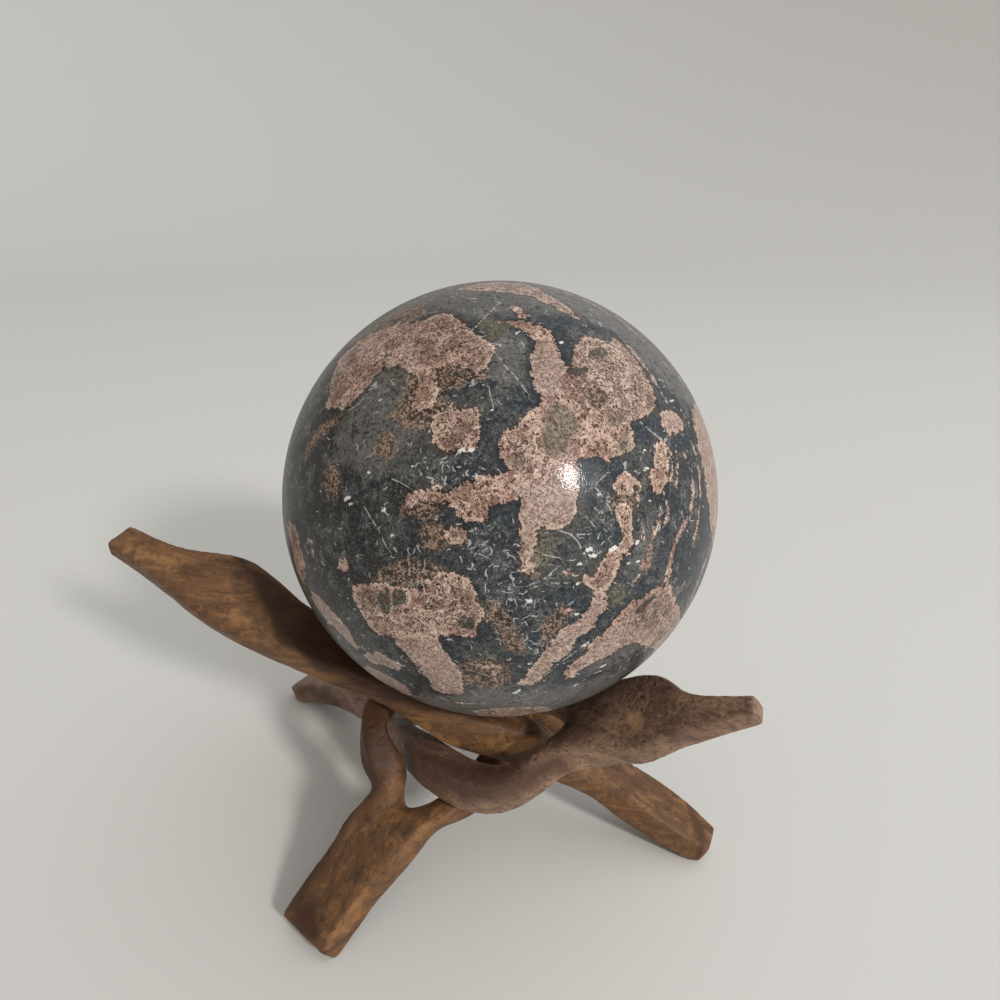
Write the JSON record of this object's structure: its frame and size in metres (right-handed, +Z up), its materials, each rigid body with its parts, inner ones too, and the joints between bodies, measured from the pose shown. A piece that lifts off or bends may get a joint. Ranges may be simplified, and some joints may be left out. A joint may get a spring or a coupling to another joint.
{
  "type": "stone sphere on a folding wooden stand",
  "caption": "Polished round stone resting in a low cradle of interlinked carved wooden sticks that spread into legs below and hooded arms above.",
  "frame": {"origin": "centre of the bounding box's underside, on the surface the feet stand on", "axes": "+Z up; -Y towards the viewer, where the eye of the right stick shows; +X towards the short arm on the right"},
  "size_m": [0.1216, 0.0862, 0.11],
  "materials": {
    "polished_stone": "polished, dark slate grey with dusty pink patches",
    "wood_left": "oiled brown, worn tan along the edges",
    "wood_right": "oiled dark reddish brown",
    "wood_back": "oiled orange brown"
  },
  "bodies": {
    "root": {"stone_sphere": "polished_stone", "stand_stick_left": "wood_left", "stand_stick_right": "wood_right", "stand_stick_back": "wood_back"}
  },
  "joints": []
}
